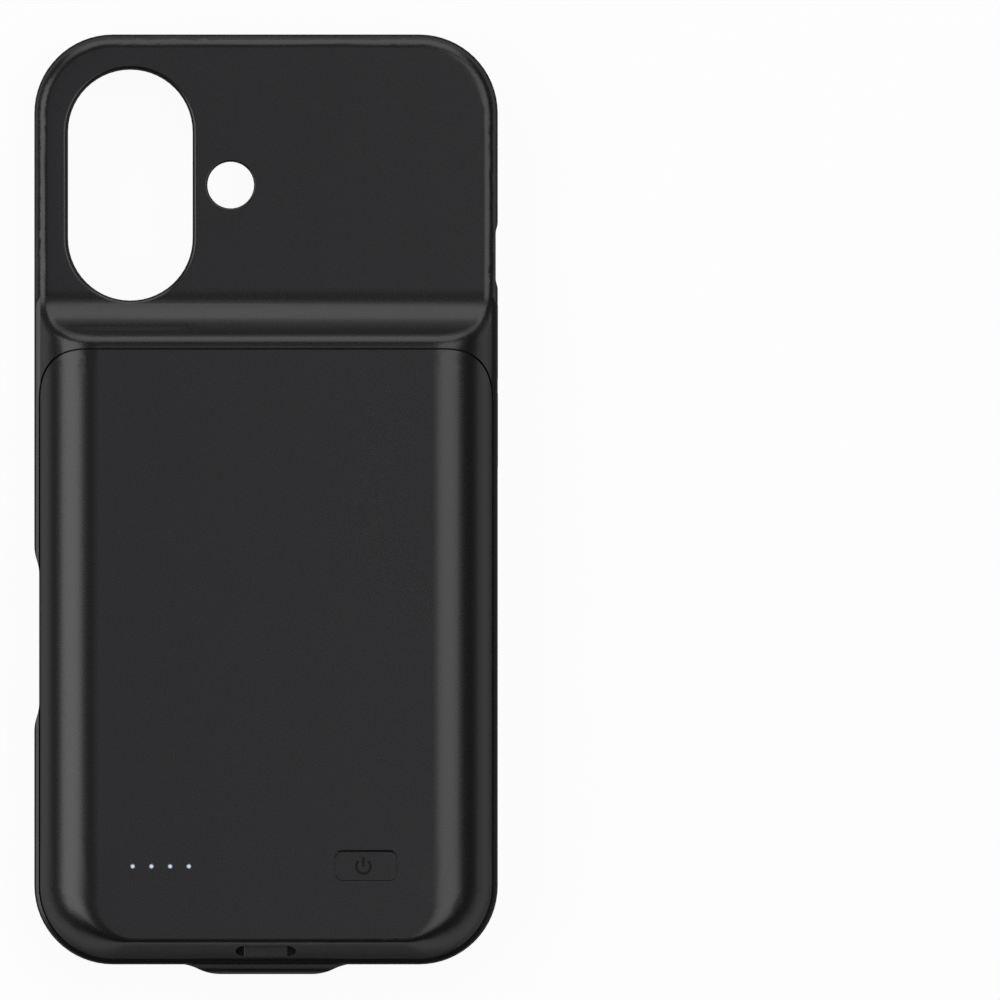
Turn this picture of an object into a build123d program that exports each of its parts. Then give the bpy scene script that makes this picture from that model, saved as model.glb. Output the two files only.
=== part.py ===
"""Battery charging case for a slab phone, lying on the rim of its front lip with its back up.

Frame: +X to the right seen from the back, +Y to the top end of the phone, +Z out of the back.
The origin is on the ground, under the middle of the case. All sizes are in millimetres.

The outer form is one skin. A prism carries a lofted bulge whose sides, bottom end and corners have their
own runs. A concave scoop cuts the bulge away over the camera panel, and one rounding runs round the panel
and over the crest of the scoop. That skin is then parted along the seam into the soft frame and the hard
battery cover.
"""
import os
from math import acos, atan, cos, radians, sin, tan

from build123d import *

os.makedirs("parts", exist_ok=True)

# Phone that the case fits.
phone_width = 71.6
phone_length = 147.6
phone_thickness = 7.8
phone_corner = 10.85
phone_gap = 0.15
phone_back_gap = 0.1

# Frame walls and front lip.
side_wall = 1.8
end_wall = 1.8
panel_wall = 1.6
lip_height = 1.0
lip_reach = 1.1
rim_round = 0.8
lip_round = 0.35

# Bulge over the battery.
bulge_rise = 6.3
lean_drop = 1.9
side_radius = 11.0
end_run = 4.4
end_round = 1.1
end_tilt = 58.0
top_corner = 6.0
arc_steps = 11
edge_round = 2.4

# Scoop between the camera panel and the bulge, measured down from the top end.
scoop_start = 41.2
scoop_crest = 49.1
scoop_overrun = 7.0

# Seam between frame and cover.
seam_from_top = 51.4
seam_inset = 1.0
seam_corner_across = 7.7
seam_corner_along = 8.2
seam_gap = 0.28
land_rise = 0.55
land_tilt = 30.0
land_from_top = 42.8
seat_rise = 0.7
cover_wall = 1.0
tongue_reach = 1.8
tongue_gap = 0.06

# Camera and flash openings, measured from the top end and the middle line.
camera_across = -22.1
camera_from_top = 24.55
camera_width = 20.3
camera_length = 37.6
camera_round = 0.75
flash_across = -5.75
flash_diameter = 7.6
flash_round = 0.35

# Keys in the long edges and the finger recesses beside them.
key_height = 3.4
key_proud = 0.03
key_gap = 0.15
key_flange = 0.7
key_flange_thickness = 0.5
key_travel = 0.4
key_round = 0.3
side_key_from_top = 57.4
side_key_length = 19.0
volume_up_from_top = 50.1
volume_down_from_top = 64.5
volume_key_length = 12.5
control_from_top = 98.4
control_depth = 0.8
control_floor = 20.9
control_ramp = 4.7
control_window_length = 20.0
control_window_height = 4.8
action_from_top = 36.07
action_depth = 0.33
action_floor = 7.2
action_ramp = 2.0
action_window_length = 8.6
action_window_height = 4.6

# Chin, plug for the phone, and sound slots in the bottom wall.
chin_depth = 1.6
chin_flat = 14.8
chin_base = 29.4
chin_height = 8.4
chin_round = 1.1
chin_wall = 1.0
chin_sink = 0.12
sound_slot_across = 22.0
sound_slot_length = 12.0
sound_slot_height = 2.8
plug_width = 8.25
plug_height = 2.4
plug_length = 6.6
plug_wall = 0.22
plug_slot_width = 6.6
plug_slot_height = 0.9
plug_tongue_depth = 5.2
plug_seat = 1.2
plug_fit = 0.05
plug_lead_in = 0.2
holder_width = 19.0
holder_gap = 0.1
holder_floor = 1.7

# Inner tray between phone and battery.
tray_gap = 0.1
tray_flange_height = 0.5
tray_flange_lap = 1.5
tray_inset = 0.4
rib_gap = 0.4
rib_thickness = 1.0
rib_height = 2.0
rib_margin = 8.6

# Battery.
cell_width = 57.0
cell_thickness = 5.0
cell_corner = 2.0
cell_end_gap = 1.8
cell_terrace = 2.8
cell_terrace_thickness = 0.5
cell_edge = 0.8
seam_fold_width = 0.6
seam_fold_height = 3.6
tape_thickness = 0.15
tape_width = 9.0
tape_across = 18.0
tape_margin = 5.6
foam_width = 40.0
foam_margin = 8.6
tab_width = 4.0
tab_thickness = 0.12
tab_across = 9.0
pcm_width = 38.0
pcm_thickness = 0.8
pcm_height = 3.6
pcm_gap = 0.7
pcm_board_gap = 4.3

# Main board.
board_width = 56.0
board_length = 19.4
board_thickness = 0.8
board_corner = 5.0
board_from_bottom = 3.4
boss_diameter = 3.4
screw_diameter = 1.4
screw_fit = 0.06
screw_head = 2.6
screw_head_height = 0.5
screw_across = 25.0
screw_margin = 3.0
screw_bite = 0.7
screw_slot = 0.35

# Charging port.
port_width = 8.84
port_height = 3.06
port_shell_wall = 0.25
port_length = 7.3
port_recess = 0.25
port_roof_gap = 0.1
port_fit = 0.06
port_side_gap = 0.5
port_tunnel_wall = 0.8
tongue_width = 6.7
tongue_thickness = 0.7
tongue_length = 4.5
contact_pitch = 0.5
contact_width = 0.25
contact_thickness = 0.07
contact_length = 3.4
contacts_per_row = 12
contact_setback = 0.5
port_core_depth = 1.6

# Power key and charge lights low on the cover, measured up from the bottom end of the body.
controls_from_bottom = 16.07
power_key_across = 16.3
power_key_width = 10.0
power_key_height = 4.6
power_key_corner = 1.2
power_key_gap = 0.05
power_key_top_gap = 0.4
power_flange_gap = 0.12
power_key_travel = 0.3
power_key_round = 0.06
power_flange = 0.7
power_flange_thickness = 0.6
power_post = 2.4
switch_width = 4.0
switch_depth = 3.2
switch_height = 1.5
plunger_diameter = 1.6
plunger_stand = 0.45
plunger_depth = 0.5
plunger_gap = 0.12
plunger_floor_gap = 0.1
light_first_across = -21.63
light_pitch = 3.046
light_count = 4
light_diameter = 0.8
light_fit = 0.06
light_bar_width = 2.2
light_bar_height = 0.7
light_leg = 1.6
light_leg_gap = 0.25
led_length = 1.6
led_width = 0.8
led_height = 0.6

# Other parts on the board.
inductor_size = 5.0
inductor_height = 2.0
chip_size = 4.0
small_chip_size = 3.0
chip_height = 0.8
capacitor_length = 1.6
capacitor_width = 0.8
capacitor_height = 0.8
lead_diameter = 0.9
lead_across = 4.0
lead_solder = 2.1
lead_rise = 0.9
inductor_across = 8.0
inductor_up = 15.4
chip_across = -9.0
chip_up = 15.6
small_chip_across = 22.5
small_chip_up = 11.2
capacitor_across = -9.6
capacitor_up = 5.6
capacitor_pitch = -1.5
capacitor_count = 6

# Flexible strip from the plug to the board.
flex_width = 6.0
flex_thickness = 0.2
flex_gap = 0.15
flex_bend = 0.45
flex_depth = 0.5
flex_step = 2.0
flex_reach = 4.9
flex_solder = 2.6

# Places that follow from the sizes above.
case_width = phone_width + 2 * (phone_gap + side_wall)
body_length = phone_length + 2 * (phone_gap + end_wall)
corner_radius = phone_corner + phone_gap + side_wall
case_length = body_length + chin_depth
top_y = case_length / 2
bottom_y = top_y - body_length
middle_y = (top_y + bottom_y) / 2
bay_width = phone_width + 2 * phone_gap
bay_length = phone_length + 2 * phone_gap
bay_corner = phone_corner + phone_gap
bay_top = lip_height + phone_thickness + phone_back_gap
bay_end_y = bottom_y + end_wall
panel_top = bay_top + panel_wall
bulge_top = panel_top + bulge_rise
lean_start = panel_top - lean_drop
land_height = bay_top + land_rise
cover_seat = bay_top + seat_rise
cover_ceiling = bulge_top - cover_wall
phone_middle = lip_height + phone_thickness / 2
seam_y = top_y - seam_from_top
tray_top = cover_seat + tray_flange_height
camera_y = top_y - camera_from_top
controls_y = bottom_y + controls_from_bottom
port_middle = cover_ceiling - port_roof_gap - port_height / 2
board_top = port_middle - port_height / 2
board_floor = board_top - board_thickness
board_bottom_y = bottom_y + board_from_bottom
board_middle_y = board_bottom_y + board_length / 2
pcm_y = board_bottom_y + board_length + pcm_board_gap
cell_top_y = seam_y - cell_end_gap
cell_bottom_y = pcm_y + pcm_thickness + pcm_gap
cell_body_y = cell_bottom_y + cell_terrace
cell_floor = tray_top + tape_thickness
cell_top = cell_floor + cell_thickness
flex_y = bay_end_y - flex_depth
cell_middle = (cell_floor + cell_top) / 2
lead_reach = pcm_board_gap + lead_solder
pcm_middle = tray_top + pcm_height / 2
led_top = board_top + led_height
power_flange_top = cover_ceiling - power_flange_gap
plunger_top = board_top + switch_height + plunger_stand
plunger_drop = plunger_stand + plunger_depth + power_key_travel + plunger_floor_gap
inductor_y = board_bottom_y + inductor_up
chip_y = board_bottom_y + chip_up
small_chip_y = board_bottom_y + small_chip_up
capacitor_y = board_bottom_y + capacitor_up
light_places = [light_first_across + index * light_pitch for index in range(light_count)]
screw_low_y = board_bottom_y + screw_margin
screw_high_y = board_bottom_y + board_length - screw_margin
screw_places = [
    (-screw_across, screw_low_y),
    (screw_across, screw_low_y),
    (-screw_across, screw_high_y),
    (screw_across, screw_high_y),
]
far = 2 * case_length


def block(x0, x1, y0, y1, z0, z1):
    """Box between two opposite corners."""
    return Pos((x0 + x1) / 2, (y0 + y1) / 2, (z0 + z1) / 2) * Box(x1 - x0, y1 - y0, z1 - z0)


def outline(side, end, corner):
    """Plan of the body, drawn in by side at both long edges and the top, and by end at the bottom."""
    upper = top_y - side
    lower = bottom_y + end
    return Pos(0, (upper + lower) / 2) * RectangleRounded(case_width - 2 * side, upper - lower, corner)


def ogee(start, end, direction):
    """Two equal tangent arcs that leave start and reach end along the same direction."""
    middle = ((start[0] + end[0]) / 2, (start[1] + end[1]) / 2)
    first = TangentArc(start, middle, tangent=direction)
    second = TangentArc(middle, end, tangent=first % 1)
    return [first, second]


def end_setback(height, inset):
    """How far the bottom end of the bulge is drawn in at a height.

    The skin lies inset inside the outer one. The end is a power curve that starts upright and runs
    tangent into the rounding at the top.
    """
    top = bulge_top - inset
    turn = radians(end_tilt)
    round_start = top - end_round * (1 - cos(turn))
    reach = end_run - end_round * sin(turn)
    if height >= round_start:
        angle_cos = 1 - (top - height) / end_round
        return inset + end_run - end_round * (1 - min(angle_cos, 1) ** 2) ** 0.5
    span = round_start - lean_start
    power = span / (tan(turn) * reach)
    return inset + reach * (max(height - lean_start, 0) / span) ** power


port_front_y = bottom_y + end_setback(port_middle + port_height / 2, 0) + port_recess


def bulge(inset):
    """Skin of the bulge from the height where its sides start to lean, lying inset inside the outer skin.

    The sides are arcs about one line inside the case, the bottom end follows end_setback, and the plan
    corners shrink with height.
    """
    centre = bulge_top - side_radius
    run = (side_radius**2 - (lean_start - centre) ** 2) ** 0.5
    radius = side_radius - inset
    steepest = acos((lean_start - centre) / radius)
    corner = corner_radius - inset
    slices = []
    for step in range(arc_steps + 1):
        turn = steepest * (1 - step / arc_steps)
        height = centre + radius * cos(turn)
        side = run - radius * sin(turn)
        lean = 1 - sin(turn) / sin(steepest)
        plan = outline(side, end_setback(height, inset), corner + (top_corner - corner) * lean)
        slices.append(Pos(0, 0, height) * plan)
    return loft(slices)


def scoop(inset):
    """Everything above the concave scoop, for a skin that lies inset inside the outer one."""
    start_y = top_y - scoop_start
    run = scoop_crest - scoop_start
    turn = 2 * atan(bulge_rise / run)
    radius = run / sin(turn)
    centre_z = panel_top + radius
    reach = radius + inset
    overrun = radians(scoop_overrun) if inset > 0 else 0
    end_turn = min(turn + overrun, radians(88))

    def on_arc(angle):
        return (start_y - reach * sin(angle), centre_z - reach * cos(angle))

    first = on_arc(0)
    last = on_arc(end_turn)
    ceiling = bulge_top + 6
    sides = [
        ThreePointArc(first, on_arc(end_turn / 2), last),
        Line(last, (last[0], ceiling)),
        Line((last[0], ceiling), (far, ceiling)),
        Line((far, ceiling), (far, first[1])),
        Line((far, first[1]), first),
    ]
    return extrude(Plane.YZ * make_face(sides), case_width, both=True)


def seam_plan(grow):
    """Plan of the battery cover, grown outwards: a bottom like the body's and long swept upper corners."""
    half = case_width / 2 - seam_inset + grow
    lower = bottom_y + seam_inset - grow
    upper = seam_y + grow
    corner = corner_radius - seam_inset + grow
    turn_x = case_width / 2 - seam_inset - seam_corner_across
    turn_y = seam_y - seam_corner_along
    middle = (half - corner, lower + corner)
    slant = corner * sin(radians(45))
    sides = [
        Line((-turn_x, upper), (turn_x, upper)),
        Bezier((turn_x, upper), (half, upper), (half, turn_y)),
        Line((half, turn_y), (half, middle[1])),
        ThreePointArc((half, middle[1]), (middle[0] + slant, middle[1] - slant), (middle[0], lower)),
        Line((middle[0], lower), (-middle[0], lower)),
        ThreePointArc((-middle[0], lower), (-middle[0] - slant, middle[1] - slant), (-half, middle[1])),
        Line((-half, middle[1]), (-half, turn_y)),
        Bezier((-half, turn_y), (-half, upper), (-turn_x, upper)),
    ]
    return make_face(sides)


def raised(plan, z0, z1):
    """Prism over a plan between two heights."""
    return extrude(Pos(0, 0, z0) * plan, z1 - z0)


def edge_prism(across, along, height, length, tall, x0, x1):
    """Stadium-shaped prism through a long edge from x0 to x1, on the side that the sign of across gives."""
    face = Plane.YZ.offset(x0) * (Pos(along, height) * SlotOverall(length, tall))
    prism = extrude(face, x1 - x0)
    return prism if across > 0 else mirror(prism, about=Plane.YZ)


def make_form():
    """The whole outer skin as one solid, with the rounding round the panel and over the crest."""
    prism = raised(outline(0, 0, corner_radius), 0, lean_start)
    prism = fillet(prism.faces().sort_by(Axis.Z)[0].edges(), rim_round)
    form = prism + chin_bump() + bulge(0) - scoop(0)
    planes = form.faces().filter_by(GeomType.PLANE)
    flat = [f for f in planes if abs(f.center().Z - panel_top) < 0.01]
    hollow = [f for f in form.faces().filter_by(GeomType.CYLINDER) if f.center().Z > panel_top]
    loop = [e for f in flat + hollow for e in f.edges()]
    outer = [e for e in loop if sum(1 for other in loop if other.is_same(e)) == 1]
    return fillet(outer, edge_round)


def land_cut():
    """What is cut from the long edges and bottom end above the sloped land that runs beside the seam."""
    rise = seam_inset * tan(radians(land_tilt))
    inner = outline(seam_inset, seam_inset, corner_radius - seam_inset)
    sloped = loft(
        [
            Pos(0, 0, land_height) * outline(0, 0, corner_radius),
            Pos(0, 0, land_height + rise) * inner,
        ],
        ruled=True,
    )
    core = raised(inner, land_height + rise, bulge_top + 3)
    outside = block(-far, far, bottom_y - 5, top_y - land_from_top, land_height, bulge_top + 2)
    return outside - sloped - core


def inner_prism(inset):
    """Prism whose plan lies inset inside the riser beside the seam."""
    total = seam_inset + inset
    return raised(outline(total, total, corner_radius - total), lean_start - 1, bulge_top + 2)


def make_cavity():
    """Battery bay inside the skin, above the tray."""
    return (bulge(cover_wall) - scoop(cover_wall)) & inner_prism(cover_wall)


def tongue_strip(inset, y0, y1):
    """Arch that follows the skin of the bulge at inset, between two places along the case."""
    arch = bulge(inset) & inner_prism(inset)
    return arch & block(-far, far, y0, y1, cover_seat, bulge_top + 1)


def finger_recess(depth, floor, ramp, from_top):
    """Shallow recess with ogee ends for a finger, cut into the right long edge from front to back."""
    edge = case_width / 2
    middle = top_y - from_top
    low = middle - floor / 2 - ramp
    high = middle + floor / 2 + ramp
    sides = ogee((edge, low), (edge - depth, low + ramp), (0, 1))
    sides.append(Line((edge - depth, low + ramp), (edge - depth, high - ramp)))
    sides += ogee((edge - depth, high - ramp), (edge, high), (0, 1))
    sides.append(Line((edge, high), (edge + 1, high)))
    sides.append(Line((edge + 1, high), (edge + 1, low)))
    sides.append(Line((edge + 1, low), (edge, low)))
    return extrude(Pos(0, 0, -1) * make_face(sides), bulge_top + 2)


def chin_bump():
    """Bump on the bottom wall: a plan with ogee flanks crossed with a rounded side profile."""
    deep = bottom_y - chin_depth
    inside = bottom_y + end_wall / 2
    root = bottom_y + chin_sink
    sides = ogee((-chin_base / 2, root), (-chin_flat / 2, deep), (1, 0))
    sides.append(Line((-chin_flat / 2, deep), (chin_flat / 2, deep)))
    sides += ogee((chin_flat / 2, deep), (chin_base / 2, root), (1, 0))
    sides.append(Line((chin_base / 2, root), (chin_base / 2, inside)))
    sides.append(Line((chin_base / 2, inside), (-chin_base / 2, inside)))
    sides.append(Line((-chin_base / 2, inside), (-chin_base / 2, root)))
    plan = extrude(make_face(sides), chin_height, dir=(0, 0, 1))
    reach = inside - deep + 1
    profile = Pos(deep + reach / 2, chin_height / 2) * Rectangle(reach, chin_height)
    profile = fillet(profile.vertices().group_by(Axis.X)[0], chin_round)
    return plan & extrude(Plane.YZ * profile, chin_base, both=True)


def edge_key_room(across, from_top, length):
    """Opening and flange pocket for a key in a long edge."""
    edge = case_width / 2
    along = top_y - from_top
    bay_edge = bay_width / 2
    shoulder = bay_edge + key_travel + key_flange_thickness + 2 * key_gap
    grow = 2 * key_flange + 2 * key_gap
    opening = edge_prism(
        across, along, phone_middle, length + 2 * key_gap, key_height + 2 * key_gap, bay_edge - 0.5, edge + 1
    )
    pocket = edge_prism(
        across, along, phone_middle, length + grow, key_height + grow, bay_edge - 0.5, shoulder
    )
    return opening + pocket


def edge_key(across, from_top, length):
    """Key in a long edge: a stadium-shaped cap with a flange that keeps it in the wall."""
    edge = case_width / 2
    along = top_y - from_top
    inner = bay_width / 2 + key_travel + key_gap
    cap = edge_prism(1, along, phone_middle, length, key_height, inner, edge + key_proud)
    cap = fillet(cap.faces().sort_by(Axis.X)[-1].edges(), key_round)
    flange = edge_prism(
        1,
        along,
        phone_middle,
        length + 2 * key_flange,
        key_height + 2 * key_flange,
        inner,
        inner + key_flange_thickness,
    )
    key = cap + flange
    return key if across > 0 else mirror(key, about=Plane.YZ)


def tray_plan(shrink):
    """Plan of the tray, drawn in from the inside of the cover wall by shrink."""
    return seam_plan(-(cover_wall + shrink))


def plug_room(gap):
    """Slot in the bottom wall and chin for the plug holder, open to the bay, smaller by gap each side."""
    half = holder_width / 2 - gap
    deep = bottom_y - chin_depth + chin_wall
    return block(-half, half, deep + gap, bay_end_y, holder_floor + gap, chin_height - chin_wall - gap)


def flex_room():
    """Way for the flexible strip from the plug holder, round the end of the phone, into the battery bay."""
    half = flex_width / 2 + flex_gap
    floor = chin_height - chin_wall - holder_gap
    low = flex_y - flex_thickness / 2 - flex_gap
    return block(-half, half, low, flex_y + flex_reach, floor, tray_top + 1)


def rim_edges(solid, across, width, length):
    """Outer edges of an opening in the camera panel."""
    found = []
    for edge in solid.edges():
        box = edge.bounding_box()
        inside_x = abs(box.center().X - across) + box.size.X / 2 < width / 2 + 0.1
        inside_y = abs(box.center().Y - camera_y) + box.size.Y / 2 < length / 2 + 0.1
        if inside_x and inside_y and box.min.Z > panel_top - 0.01:
            found.append(edge)
    return found


def on_mouth(edge, width, length):
    """Whether an edge lies on the ground round the mouth of the front lip."""
    box = edge.bounding_box()
    inside_x = abs(box.center().X) + box.size.X / 2 < width / 2 + 0.05
    inside_y = abs(box.center().Y - middle_y) + box.size.Y / 2 < length / 2 + 0.05
    return inside_x and inside_y and box.max.Z < 0.01


def make_frame(form, cavity):
    """Soft frame: bumper, front lip, camera panel, scoop, chin, and the ring on which the cover sits."""
    camera = Pos(camera_across, camera_y) * SlotOverall(camera_length, camera_width, rotation=90)
    flash = Pos(flash_across, camera_y) * Circle(flash_diameter / 2)
    frame = form - raised(camera, bay_top - 1, panel_top + 4) - raised(flash, bay_top - 1, panel_top + 4)
    frame = fillet(rim_edges(frame, camera_across, camera_width, camera_length), camera_round)
    frame = fillet(rim_edges(frame, flash_across, flash_diameter, flash_diameter), flash_round)
    frame -= raised(seam_plan(seam_gap), cover_seat, bulge_top + 2)
    frame -= cavity & block(-far, far, seam_y - 1, top_y, tray_top, bulge_top + 2)
    tongue = tongue_strip(cover_wall / 2 + tongue_gap, seam_y - tongue_reach, seam_y + 1)
    frame += tongue - cavity
    bay_plan = Pos(0, middle_y) * RectangleRounded(bay_width, bay_length, bay_corner)
    frame -= raised(bay_plan, lip_height, bay_top)
    mouth_width = bay_width - 2 * lip_reach
    mouth_length = bay_length - 2 * lip_reach
    mouth_plan = Pos(0, middle_y) * RectangleRounded(mouth_width, mouth_length, bay_corner - lip_reach)
    frame -= raised(mouth_plan, -1, lip_height + 0.5)
    inner_rim = [e for e in frame.edges() if on_mouth(e, mouth_width, mouth_length)]
    frame = fillet(inner_rim, lip_round)
    frame -= raised(tray_plan(tray_inset + tray_flange_lap), bay_top - 1, cover_seat + 1)
    frame -= edge_key_room(-1, side_key_from_top, side_key_length)
    frame -= edge_key_room(1, volume_up_from_top, volume_key_length)
    frame -= edge_key_room(1, volume_down_from_top, volume_key_length)
    edge = case_width / 2
    frame -= edge_prism(
        -1,
        top_y - control_from_top,
        phone_middle,
        control_window_length,
        control_window_height,
        bay_width / 2 - 0.5,
        edge + 1,
    )
    frame -= edge_prism(
        1,
        top_y - action_from_top,
        phone_middle,
        action_window_length,
        action_window_height,
        bay_width / 2 - 0.5,
        edge + 1,
    )
    for across in (-sound_slot_across, sound_slot_across):
        slot = Plane.XZ * (Pos(across, phone_middle) * SlotOverall(sound_slot_length, sound_slot_height))
        frame -= Pos(0, bottom_y - 1) * extrude(slot, -(end_wall + 2))
    frame -= plug_room(0)
    frame -= flex_room()
    return frame


def make_tray():
    """Hard plate between phone and battery: it fills the window in the frame and laps over its ring."""
    tray = raised(tray_plan(tray_inset + tray_flange_lap + tray_gap), bay_top, cover_seat)
    tray += raised(tray_plan(tray_inset), cover_seat, tray_top)
    rib = cell_width / 2 + seam_fold_width + rib_gap
    for across in (-1, 1):
        inner = across * rib
        outer = across * (rib + rib_thickness)
        tray += block(
            min(inner, outer),
            max(inner, outer),
            cell_body_y + rib_margin,
            cell_top_y - rib_margin,
            tray_top - 0.1,
            tray_top + rib_height,
        )
    for x, y in screw_places:
        tray += Pos(x, y) * raised(Circle(boss_diameter / 2), tray_top - 0.1, board_floor)
    pilot = Circle(screw_diameter / 2 + screw_fit)
    for x, y in screw_places:
        tray -= Pos(x, y) * raised(pilot, tray_top - screw_bite, board_floor + 1)
    return tray - flex_room()


def make_cover(form, cavity):
    """Hard cover over the battery, with its port, power key and light openings."""
    cover = form & raised(seam_plan(0), cover_seat, bulge_top + 2)
    cover -= cavity
    cover -= tongue_strip(cover_wall / 2, seam_y - tongue_reach - tongue_gap, seam_y + 1)
    port_room_width = port_width + 2 * port_side_gap
    port_room_height = port_height + 2 * port_fit
    tunnel_width = port_room_width + 2 * port_tunnel_wall
    tunnel_height = port_room_height + 2 * port_tunnel_wall
    cover += port_prism(tunnel_width, tunnel_height, bottom_y - 1, port_front_y) & form
    cover -= port_prism(port_room_width, port_room_height, bottom_y - 1, port_front_y + 3)
    key_room_width = power_key_width + 2 * power_key_gap
    key_room_height = power_key_height + power_key_gap + power_key_top_gap
    key_room_y = controls_y + (power_key_top_gap - power_key_gap) / 2
    key_plan = RectangleRounded(key_room_width, key_room_height, power_key_corner + power_key_gap)
    cover -= raised(Pos(power_key_across, key_room_y) * key_plan, cover_ceiling - 1, bulge_top + 1)
    for x in light_places:
        hole = Pos(x, controls_y) * Circle(light_diameter / 2 + light_fit)
        cover -= raised(hole, cover_ceiling - 1, bulge_top + 1)
    return cover


def port_prism(width, height, y0, y1):
    """Stadium-shaped prism along the case, centred on the charging port."""
    face = Plane.XZ.offset(-y0) * (Pos(0, port_middle) * SlotOverall(width, height))
    return extrude(face, -(y1 - y0))


def plug_prism(width, height, y0, y1):
    """Stadium-shaped prism along the case, centred on the plug."""
    face = Plane.XZ.offset(-y0) * (Pos(0, phone_middle) * SlotOverall(width, height))
    return extrude(face, -(y1 - y0))


def contact_row(y0, y1, z0, z1):
    """Row of flat contacts side by side."""
    first = -(contacts_per_row - 1) * contact_pitch / 2
    row = []
    for index in range(contacts_per_row):
        x = first + index * contact_pitch
        row.append(block(x - contact_width / 2, x + contact_width / 2, y0, y1, z0, z1))
    return row


def make_power_key():
    """Key cap flush with the cover, with a post over the switch and a flange under the cover.

    The flange runs along three sides, so that the slot above the key stays open.
    """
    cap = raised(
        RectangleRounded(power_key_width, power_key_height, power_key_corner), power_flange_top, bulge_top
    )
    cap = fillet(cap.faces().sort_by(Axis.Z)[-1].edges(), power_key_round)
    flange_plan = Pos(0, -power_flange / 2) * RectangleRounded(
        power_key_width + 2 * power_flange, power_key_height + power_flange, power_key_corner
    )
    key = cap + raised(flange_plan, power_flange_top - power_flange_thickness, power_flange_top)
    key += raised(Circle(power_post / 2), plunger_top, power_flange_top)
    return Pos(power_key_across, controls_y) * key


def make_light_guide():
    """Clear bar under the cover with a stud into each light hole and a leg over each light source."""
    first = light_places[0] - light_bar_width / 2
    last = light_places[-1] + light_bar_width / 2
    half = light_bar_width / 2
    guide = block(
        first, last, controls_y - half, controls_y + half, cover_ceiling - light_bar_height, cover_ceiling
    )
    for x in light_places:
        spot = Pos(x, controls_y)
        guide += spot * raised(Circle(light_diameter / 2), cover_ceiling - 0.1, bulge_top)
        guide += spot * raised(Circle(light_leg / 2), led_top + light_leg_gap, cover_ceiling - 0.1)
    return guide


def make_switch():
    """Switch body on the board with a well for its plunger."""
    body = raised(RectangleRounded(switch_width, switch_depth, 0.3), board_top, board_top + switch_height)
    well = raised(Circle(plunger_diameter / 2 + plunger_gap), plunger_top - plunger_drop, board_top + 5)
    return Pos(power_key_across, controls_y) * (body - well)


def make_plunger():
    """Plunger that stands out of the switch and carries the post of the power key."""
    body = raised(Circle(plunger_diameter / 2), plunger_top - plunger_stand - plunger_depth, plunger_top)
    return Pos(power_key_across, controls_y) * body


def make_cell():
    """Pouch cell with a sealed terrace at its tab end and folded seams along its sides."""
    middle = (cell_body_y + cell_top_y) / 2
    plan = Pos(0, middle) * RectangleRounded(cell_width, cell_top_y - cell_body_y, cell_corner)
    cell = raised(plan, cell_floor, cell_top)
    cell = fillet(cell.edges().group_by(Axis.Z)[-1], cell_edge)
    low = cell_middle - cell_terrace_thickness / 2
    high = cell_middle + cell_terrace_thickness / 2
    cell += block(-cell_width / 2, cell_width / 2, cell_bottom_y, cell_body_y + 1, low, high)
    fold = seam_fold_height / 2
    for across in (-1, 1):
        inner = across * (cell_width / 2 - 0.2)
        outer = across * (cell_width / 2 + seam_fold_width)
        cell += block(
            min(inner, outer),
            max(inner, outer),
            cell_body_y + cell_corner,
            cell_top_y - cell_corner,
            cell_middle - fold,
            cell_middle + fold,
        )
    return cell


def make_lead(across):
    """Insulated lead that arches from the protection board to the main board."""
    start = (across, pcm_y, pcm_middle)
    end = (across, pcm_y - lead_reach, board_top)
    crown = (across, pcm_y - lead_reach / 2, pcm_middle + lead_rise)
    path = Spline(start, crown, end, tangents=[(0, -1, 0), (0, 0, -1)])
    return sweep(Plane(origin=path @ 0, z_dir=path % 0) * Circle(lead_diameter / 2), path=path)


def make_flex():
    """Flexible strip from the plug holder, round the end of the phone, to the underside of the board."""
    start_z = chin_height - chin_wall - holder_gap
    low_z = (bay_top + cover_seat) / 2
    rise_y = flex_y + flex_step
    end_z = board_floor - flex_thickness / 2
    route = FilletPolyline(
        (0, flex_y, start_z),
        (0, flex_y, low_z),
        (0, rise_y, low_z),
        (0, rise_y, end_z),
        (0, rise_y + flex_solder, end_z),
        radius=flex_bend,
    )
    return sweep(Pos(0, flex_y, start_z) * Rectangle(flex_width, flex_thickness), path=route)


def make_screw(x, y):
    """Small pan-head screw through the board into a boss of the tray."""
    shank = raised(Circle(screw_diameter / 2), tray_top - screw_bite + screw_fit, board_top + 0.1)
    head = raised(Circle(screw_head / 2), board_top, board_top + screw_head_height)
    head = fillet(head.faces().sort_by(Axis.Z)[-1].edges(), screw_head_height / 2)
    reach = screw_head / 3
    half = screw_slot / 2
    floor = board_top + screw_head_height / 2
    cross = block(-reach, reach, -half, half, floor, board_top + 2)
    cross += block(-half, half, -reach, reach, floor, board_top + 2)
    return Pos(x, y) * (shank + head - cross)


def on_board(x, y, length, width, height):
    """Block-shaped part that stands on the main board."""
    return block(x - length / 2, x + length / 2, y - width / 2, y + width / 2, board_top, board_top + height)


parts = {}

# The recesses leave the edges tangent, and are cut while the edges are still whole.
form = make_form()
form -= finger_recess(action_depth, action_floor, action_ramp, action_from_top)
form -= mirror(finger_recess(control_depth, control_floor, control_ramp, control_from_top), about=Plane.YZ)
form -= land_cut()
cavity = make_cavity()
parts["case_frame"] = make_frame(form, cavity)
parts["battery_cover"] = make_cover(form, cavity)
parts["inner_tray"] = make_tray()

parts["side_key"] = edge_key(-1, side_key_from_top, side_key_length)
parts["volume_up_key"] = edge_key(1, volume_up_from_top, volume_key_length)
parts["volume_down_key"] = edge_key(1, volume_down_from_top, volume_key_length)

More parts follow.
